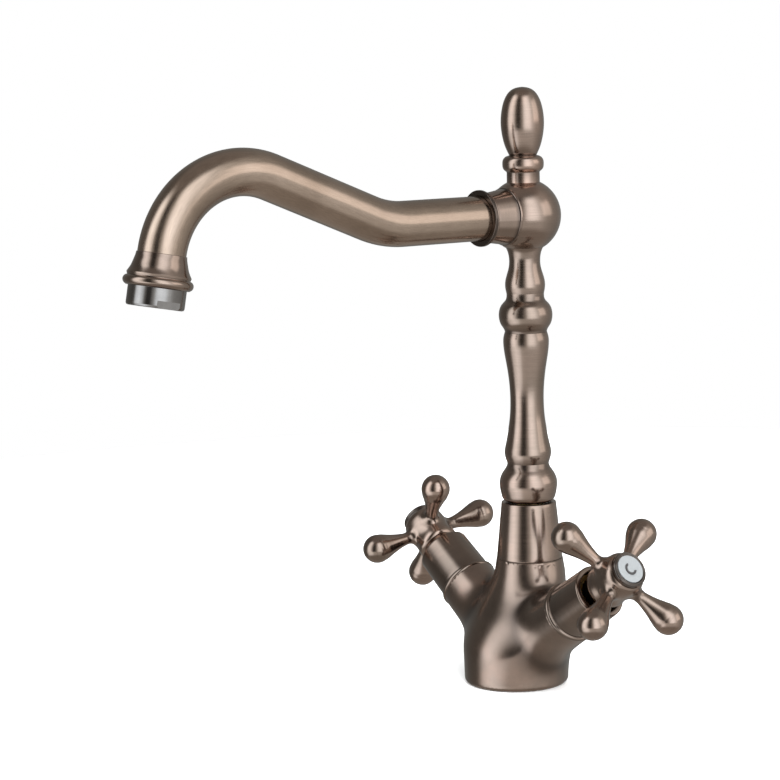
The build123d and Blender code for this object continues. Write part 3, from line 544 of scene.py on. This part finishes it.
def spoutLine():
    # centre line in the plane of the spout as (reach from the column, height, direction):
    # level run, arc up to the rise, straight, arc over and down to the outlet
    rise, tilt = math.radians(spout["rise"]), math.radians(spout["tilt"])
    rb, ra = spout["bendRadius"], spout["archRadius"]
    half = rb * math.tan(rise / 2)
    bendStart = spout["bendAt"] - half
    climb = (spout["archAt"] - spout["bendAt"]) * math.tan(rise)
    archHeight = spout["headHeight"] + climb - ra / math.cos(rise)
    level = np.linspace(spout["start"], bendStart, 34)[:-1]
    a = np.linspace(0, rise, 24)
    bendX, bendZ = bendStart + rb * np.sin(a), spout["headHeight"] + rb * (1 - np.cos(a))
    archX0, archZ0 = spout["archAt"] - ra * math.sin(rise), archHeight + ra * math.cos(rise)
    t = np.linspace(0, 1, 30)[1:-1]
    upX, upZ = bendX[-1] + t * (archX0 - bendX[-1]), bendZ[-1] + t * (archZ0 - bendZ[-1])
    b = np.linspace(rise, -(math.pi / 2 - tilt), 84)
    archX, archZ = spout["archAt"] - ra * np.sin(b), archHeight + ra * np.cos(b)
    x = np.concatenate([level, bendX, upX, archX])
    z = np.concatenate([0 * level + spout["headHeight"], bendZ, upZ, archZ])
    d = np.concatenate([0 * level, a, 0 * t + rise, b])
    return x, z, d


def carried(x, z, d, radius, cols):
    # circles of the given radius square to the line: up-normal and the row's X axis span each circle
    angle = np.linspace(0, 2 * math.pi, cols, endpoint=False)[None, :]
    up = radius * np.cos(angle)
    return np.stack([radius * np.sin(angle) + 0 * x[:, None],
                     spout["columnY"] - (x[:, None] - up * np.sin(d)[:, None]),
                     z[:, None] + up * np.cos(d)[:, None]], -1)


def spoutTube():
    cols = 144
    x, z, d = spoutLine()
    outer = carried(x, z, d, spout["radius"], cols)
    inner = carried(x[::-1], z[::-1], d[::-1], spout["radius"] - spout["wall"], cols)
    spots = np.concatenate([outer, inner])
    angle = np.linspace(0, 2 * math.pi, cols, endpoint=False)[None, :]
    run = np.concatenate([[0], np.cumsum(np.hypot(np.diff(x), np.diff(z)))])
    run = np.concatenate([run, run[::-1]])[:, None]
    # brushed along its length: quick change round the tube, slow change along it
    grain = np.stack([26 * np.cos(angle) + 0 * run, 26 * np.sin(angle) + 0 * run, 0.25 * run + 0 * angle], -1)
    hollow = np.zeros(spots.shape[:2])
    makePiece("spoutTube", [(spots, gridQuads(len(spots), cols, True, True), grain, hollow)], "swivel",
              spoutBronze, ["spout_tube"])
    return x[-1], z[-1]


outletReach, outletHeight = spoutTube()
tiltAngle = math.radians(spout["tilt"])
outletPlace = ((0, 9.6 - outletReach, outletHeight), (1, 0, 0),
               (0, -math.cos(tiltAngle), math.sin(tiltAngle)),
               (0, -math.sin(tiltAngle), -math.cos(tiltAngle)))


def spoutEnds():
    ferrule = ring([(10.75, 7.0), (11.9, 7.0), (11.9, 11.4), (14.0, 11.4), (14.0, 12.35), (13.35, 12.85),
                    (11.6, 24.38), (10.75, 24.38)], 0.35)
    shell = turnedShell(ferrule, spoutPlace, closed=True, deep=0)
    # painted shade: a dark line round the edge where the ferrule's rim turns into its cone
    shell[3][:] = np.clip(1 - np.abs(ferrule[:, 1] - 12.9) / 0.7, 0, 1)[:, None]
    makePiece("spoutFerrule", [shell], "swivel", bellBronze, ["spout_ferrule"])
    flange = ring([(10.75, 24.4), (12.9, 24.4), (13.05, 25.2), (12.7, 25.45), (13.5, 25.7), (13.5, 27.35),
                   (10.75, 27.35)], 0.4)
    shell = turnedShell(flange, spoutPlace, closed=True, deep=0)
    # painted shade: from the small groove outwards the flange's ring is darkened
    shell[3][:] = np.clip((flange[:, 1] - 25.15) / 0.3, 0, 0.85)[:, None]
    makePiece("spoutFlange", [shell], "swivel", brushedBronze, ["spout_flange"])
    flare = through([(11.12, 0.15), (11.3, 1.5), (11.75, 3.2), (12.75, 6.4), (14.15, 9.0)], 30)
    bead = np.linspace(-1.18, 1.12, 26)
    beadLine = np.stack([13.25 + 2.25 * np.cos(bead), 12.55 + 2.25 * np.sin(bead)], -1)
    bell = np.concatenate([[[10.72, 0.0], [10.95, 0.0]], flare,
                           rounded([(14.2, 9.1), (14.0, 9.9), (13.8, 10.35), (14.0, 10.6)], 0.25), beadLine,
                           [[13.9, 14.85], [12.9, 14.9], [12.9, 12.0], [10.72, 10.0]]])
    makePiece("outletBell", [turnedShell(bell, outletPlace, closed=True)], "swivel",
              bellBronze, ["outlet_bell"])


spoutEnds()
print("spout made")


# valves
valve = {"y": 2.4, "z": 14.35, "tilt": 33.15, "armEnd": 47.6, "mouth": 74.0}
cross = {"at": 89.1, "reach": 30.9, "ball": 7.3, "turn": {"cold": 38.7, "hot": -13.2}}


def valvePlace(side, turn=0.0):
    tilt, t = math.radians(valve["tilt"]), math.radians(turn)
    along = np.array((side * math.cos(tilt), 0, math.sin(tilt)))
    across, beside = np.array((0, 1.0, 0)), np.cross(along, (0, 1, 0))
    return ((0, valve["y"], valve["z"]), across * math.cos(t) + beside * math.sin(t),
            beside * math.cos(t) - across * math.sin(t), along)


def hubRadius(z):
    # half width of the hub at a distance z from the arms' plane, outwards positive
    line = np.array([(-11.7, 9.2), (-11.0, 9.9), (-5.7, 10.3), (0.0, 10.55), (4.0, 10.6), (6.1, 10.3),
                     (7.6, 9.6), (8.5, 8.75)])
    smooth = through(line, 60)
    return np.interp(z, smooth[:, 0], smooth[:, 1])


def hubOutline():
    z = np.concatenate([np.linspace(-11.7, -10.5, 8)[:-1], np.linspace(-10.5, 8.5, 60)])
    r = hubRadius(z)
    front = [[r[-1] - 0.5, 8.5], [0.0, 8.4]]
    back = [[0.0, -11.7], [8.3, -11.7], [r[0] - 0.2, -11.7]]
    return np.concatenate([back, np.stack([r, z], -1), front])


def armShell(place, k, cols=72):
    # one ball-ended arm about its own axis: a stem that swells into a ball, and at its foot a
    # fillet whose height over the hub falls to nothing as it spreads, so it lands on the hub's skin
    origin, across, beside, along = [np.array(v, float) for v in place]
    c, s = math.cos(k * math.pi / 2), math.sin(k * math.pi / 2)
    out, side = across * c + beside * s, beside * c - across * s
    theta = np.linspace(0, 2 * math.pi, cols, endpoint=False)[None, :]
    fillet, neck = 3.0, 3.15
    phi = np.linspace(math.pi / 2, 0.12, 18)[:, None]
    rho = neck + fillet * (1 - np.cos(phi))
    skin = np.sqrt(hubRadius(rho * np.cos(theta)) ** 2 - (rho * np.sin(theta)) ** 2)
    lift = skin + fillet * (1 - np.sin(phi))
    wide = rho[0] + 0.3
    tuck = np.sqrt(hubRadius(wide * np.cos(theta)) ** 2 - (wide * np.sin(theta)) ** 2) - 0.15
    stem = through([(3.15, 14.2), (3.35, 15.6), (3.75, 17.6), (4.4, 20.2), (5.25, 23.0), (6.15, 25.6)], 34)
    a = np.linspace(-0.62, math.pi / 2, 40)
    ballLine = np.stack([cross["ball"] * np.cos(a), cross["reach"] + cross["ball"] * np.sin(a)], -1)
    swell = through([(6.15, 25.6), (6.62, 27.0), tuple(ballLine[6])], 8)[1:]
    stem = np.concatenate([stem, swell, ballLine[7:]])
    rows = np.concatenate([np.concatenate([0 * theta, rho[:1] + 0.3 + 0 * theta, rho + 0 * theta]),
                           stem[:, :1] + 0 * theta])
    heights = np.concatenate([np.concatenate([tuck * 0 + 4.0, tuck, lift]), stem[:, 1:] + 0 * theta])
    hub = origin + cross["at"] * along
    spots = hub + heights[..., None] * out + (rows * np.cos(theta))[..., None] * along \
        + (rows * np.sin(theta))[..., None] * side
    run = np.cumsum(np.concatenate([[0], np.hypot(np.diff(rows[:, 0]), np.diff(heights[:, 0]))]))[:, None]
    grain = np.stack([0.9 * np.cos(theta) + 0 * run + k, 0.9 * np.sin(theta) + 0 * run,
                      3.2 * run + 0 * theta], -1)
    # painted shade in the crease where each arm's foot meets the hub
    hollow = np.clip(1 - np.abs(heights - 12.5) / 2.2, 0, 1) * 0.45 * (rows > 3)
    return spots, gridQuads(len(rows), cols, False, True), grain, hollow


def valveSide(label, side):
    place = valvePlace(side)
    f, m = valve["armEnd"], valve["mouth"]
    flangeLine = rounded([(12.3, f + 0.05), (14.4, f + 0.05), (15.0, f + 0.7), (15.0, f + 1.9),
                          (14.4, f + 2.6), (13.75, f + 2.75), (13.8, f + 3.6)], 0.35)
    mouthLine = rounded([(13.27, m - 1.6), (13.25, m - 0.55), (12.7, m), (10.95, m), (10.7, m - 0.25),
                         (10.7, m - 2.2), (12.0, m - 3.2)], 0.3)
    sleeveLine = filled(np.concatenate([flangeLine, mouthLine, [[12.6, f + 4.0], [12.3, f + 2.4]]]), 1.2)
    makePiece(label + "Sleeve", [turnedShell(sleeveLine, place, closed=True, deep=0.6)], "root",
              sleeveBronze, [label + "_sleeve"])
    handlePlace = valvePlace(side, cross["turn"][label])
    hubPlace = (np.array(handlePlace[0]) + cross["at"] * np.array(handlePlace[3]), *handlePlace[1:])
    shells = [turnedShell(hubOutline(), hubPlace, cols=192, deep=0)]
    skirt = ring([(6.5, 71.6), (8.4, 71.6), (8.4, 78.0), (6.5, 78.0)], 0.3)
    shells.append(turnedShell(skirt, handlePlace, closed=True, deep=0))
    shells += [armShell(handlePlace, k) for k in range(4)]
    makePiece(label + "CrossHandle", shells, label + "_handle", brushedBronze, [label + "_cross_handle"])
    bezelLine = ring([(6.8, 98.9), (7.7, 97.6), (8.2, 97.6), (8.2, 98.3), (8.7, 98.6), (8.7, 99.7),
                      (8.25, 100.2), (7.95, 100.0), (7.7, 100.35), (7.3, 100.35),
                      (7.05, 99.9), (6.8, 99.9)], 0.14)
    makePiece(label + "Bezel", [turnedShell(bezelLine, place, closed=True, deep=0)], label + "_handle",
              bezelBronze, [label + "_index_bezel"])
    top = 100.35
    discLine = np.concatenate([[[0, top - 1.0], [6.75, top - 1.0]],
                               rounded([(6.75, top - 1.0), (6.75, top), (0, top)], 0.3)[1:]])
    makePiece(label + "Button", [turnedShell(filled(discLine), place, deep=0)], label + "_handle",
              indexEnamel, [label + "_index_button"])


valveSide("cold", 1)
valveSide("hot", -1)
print("valves made")


# body casting
# the last two entries set the depth and strength of the painted shade in the casting's crotches
casting = {"drum": 25.42, "edge": 2.2, "drumTop": 14.0, "neck": 16.24, "neckTop": 60.5, "columnY": 9.6,
           "armRoot": 15.45, "armEnd": 14.55, "cut": 49.0, "blend": 17.0, "ease": 8.0, "proud": 0.05,
           "clear": 0.03, "straight": 58, "seamFrom": 60.0, "seamStep": 0.05, "trim": 60.9,
           "patinaDepth": 2.4, "patina": 0.7}
# the way from drum to neck: share of the height, of the set-back, of the step in radius
shoulder = np.array([(0, 0, 1), (0.08, 0.01, 0.99), (0.18, 0.09, 0.93), (0.41, 0.43, 0.66),
                     (0.69, 0.86, 0.27), (0.86, 1, 0.11), (1, 1, 0)])


def trunkRadius(z):
    up = np.clip((z - casting["drumTop"]) / (casting["neckTop"] - casting["drumTop"]), 0, 1)
    line = through(shoulder, 80)
    back = np.interp(up, line[:, 0], line[:, 1]) * casting["columnY"]
    out = np.interp(up, line[:, 0], line[:, 2])
    return casting["neck"] + out * (casting["drum"] - casting["neck"]), back


def softUnion(a, b, width):
    # the smaller of two distances, with the crossing eased over the given width
    h = np.maximum(width - np.abs(a - b), 0) / width
    return np.minimum(a, b) - h**3 * width / 6


def castingDistance(p, blend=casting["blend"]):
    # distance outside the casting: drum and neck of changing radius, joined with two sloping cones
    x, y, z = p[..., 0], p[..., 1], p[..., 2]
    radius, back = trunkRadius(z)
    side = np.hypot(x, y - back) - radius
    easeX, easeZ = side + casting["edge"], casting["edge"] - z
    body = np.minimum(np.maximum(easeX, easeZ), 0) \
        + np.hypot(np.maximum(easeX, 0), np.maximum(easeZ, 0)) - casting["edge"]
    tilt = math.radians(valve["tilt"])
    arms = []
    for turn in (1, -1):
        along = turn * x * math.cos(tilt) + (z - valve["z"]) * math.sin(tilt)
        lift = -turn * x * math.sin(tilt) + (z - valve["z"]) * math.cos(tilt)
        share = np.clip(along / valve["armEnd"], 0, 1)
        thick = casting["armRoot"] + share * (casting["armEnd"] - casting["armRoot"])
        away = np.hypot(lift, y - valve["y"]) - thick
        arms.append(-softUnion(-away, along, casting["ease"]))
    joined = softUnion(body, softUnion(arms[0], arms[1], casting["ease"]), blend)
    return joined - casting["proud"]


def ontoCasting(p, steps):
    # each point walks along the slope of the distance until it lies on the surface; points of the
    # straight neck keep their height
    tiny = 0.02 * np.eye(3)
    for _ in range(steps):
        gap = castingDistance(p)
        slope = np.stack([castingDistance(p + e) - castingDistance(p - e) for e in tiny], -1) / 0.04
        slope[:, 2] *= p[:, 2] < casting["straight"]
        step = np.clip(gap / np.maximum((slope**2).sum(1), 0.2), -0.6, 0.6)
        p = p - step[:, None] * slope
    return p


def castingSkin():
    # space is cut into cubes of a millimetre; each cube that the surface crosses gets one point, which
    # walks onto the surface, and the points of the cubes round each crossed edge make a quad
    axes = [np.arange(-52.5, 52.6), np.arange(-29.5, 29.6), np.arange(-2.05, 62)]
    nodes = np.stack(np.meshgrid(*axes, indexing="ij"), -1)
    inside = castingDistance(nodes) < 0
    corner = [slice(None, -1), slice(1, None)]
    filledCorners = sum(inside[a, b, c].astype(int) for a in corner for b in corner for c in corner)
    crossed = (filledCorners > 0) & (filledCorners < 8)
    number = -np.ones(crossed.shape, int)
    number[crossed] = np.arange(crossed.sum())
    spots = ontoCasting(nodes[:-1, :-1, :-1][crossed] + 0.5, 9)
    quads = []
    for a in range(3):
        b, c = (a + 1) % 3, (a + 2) % 3
        low = [slice(None, -1) if k == a else slice(1, -1) for k in range(3)]
        high = [slice(1, None) if k == a else slice(1, -1) for k in range(3)]
        before, after = inside[tuple(low)], inside[tuple(high)]
        at = np.argwhere(before != after)
        outward = before[tuple(at.T)]
        at[:, b] += 1
        at[:, c] += 1
        around = []
        for backB, backC in ((1, 1), (0, 1), (0, 0), (1, 0)):
            cell = at.copy()
            cell[:, b] -= backB
            cell[:, c] -= backC
            around.append(number[tuple(cell.T)])
        around = np.stack(around, -1)
        quads.append(np.where(outward[:, None], around, around[:, ::-1]))
    quads = np.concatenate(quads)
    near = np.concatenate([quads[:, [k, (k + 1) % 4]] for k in range(4)])
    near = np.concatenate([near, near[:, ::-1]])
    share = np.bincount(near[:, 0], minlength=len(spots))[:, None]
    for _ in range(12):
        # even out the spacing: half way to the mean of the neighbours, then back onto the surface
        sums = [np.bincount(near[:, 0], spots[near[:, 1], k], len(spots)) for k in range(3)]
        mean = np.stack(sums, -1) / share
        loose = (spots[:, 2:] < 57.9) & (spots[:, 2:] > 0.6)
        spots = ontoCasting(np.where(loose, 0.5 * (spots + mean), spots), 2)
    tilt = math.radians(valve["tilt"])
    along = np.abs(spots[:, 0]) * math.cos(tilt) + (spots[:, 2] - valve["z"]) * math.sin(tilt)
    fromMiddle = np.hypot(spots[:, 0], spots[:, 1])
    lip = casting["drum"] - casting["edge"] + 0.35
    under = (spots[:, 2] < 0.6) & (fromMiddle < lip)
    dropped = (along > casting["cut"]) | (spots[:, 2] > casting["trim"])
    quads = quads[~dropped[quads].any(1) & ~under[quads].all(1)]
    # the open rims: the underside ends on a circle, the neck draws in for the seam under the collar
    spots[under, :2] = spots[under, :2] * lip / fromMiddle[under, None]
    spots[under, 2] = casting["clear"]
    spots[:, 2] = np.maximum(spots[:, 2], casting["clear"])
    seam = spots[:, 2] > casting["seamFrom"]
    outOf = spots[:, :2] - (0, casting["columnY"])
    outOf /= np.linalg.norm(outOf, axis=1, keepdims=True)
    spots[seam, :2] -= casting["seamStep"] * outOf[seam]
    kept, quads = np.unique(quads, return_inverse=True)
    spots, quads = spots[kept], quads.reshape(-1, 4)
    # painted shade: the crotches between arms, drum and neck, where the blend has filled most, are darkened
    filling = castingDistance(spots, 0.01)
    hollow = np.clip(filling / casting["patinaDepth"], 0, 1) * casting["patina"]
    skin = makePiece("castingSkin", [(spots, quads, spots * 0.3, hollow)], "root", castBronze,
                     turnOut=False, sharp=120)
    wall = skin.modifiers.new("wall", "SOLIDIFY")
    wall.thickness = 0.0008
    wall.offset = -1


castingSkin()
print("casting skinned")


# finishes of the CAD's own pieces
finishes = {
    "body_casting": castBronze, "aerator_shell": darkNickel, "aerator_insert": greyPlastic,
    "index_mark": indexInk,
    "base_gasket": blackRubber, "tail_o_rings": blackRubber, "spout_o_rings": blackRubber,
    "aerator_washer": blackRubber, "barrel_o_ring": blackRubber, "seat_seal": blackRubber,
    "spindle_o_ring": blackRubber, "thrust_washer": whiteAcetal, "swivel_bush": whiteAcetal,
    "swivel_tail": rawBrass, "riser_tube": rawBrass, "cartridge_body": rawBrass, "spindle": rawBrass,
    "fixed_disc": whiteAcetal, "moving_disc": whiteAcetal, "spindle_clip": stainless,
    "handle_screw": stainless,
}
for nodeName, node in cadNodes.items():
    plain = nodeName.replace("cold_", "").replace("hot_", "")
    if plain in finishes:
        node.data.materials.clear()
        node.data.materials.append(finishes[plain])


def floorDisc():
    # a wide pale disc to stand on
    angle = np.linspace(0, 2 * math.pi, 96, endpoint=False)
    rim = np.stack([0.8 * np.cos(angle), 0.8 * np.sin(angle), 0 * angle - 0.00005], -1)
    mesh = bpy.data.meshes.new("studioFloor")
    mesh.from_pydata(rim.tolist(), [], [list(range(96))])
    material, tree, shader = newMaterial("paleFloor")
    shader.inputs["Base Color"].default_value = (*studio["floor"], 1)
    shader.inputs["Roughness"].default_value = 0.6
    mesh.materials.append(material)
    floor = bpy.data.objects.new("studioFloor", mesh)
    bpy.context.scene.collection.objects.link(floor)
    floor.visible_glossy = False


floorDisc()
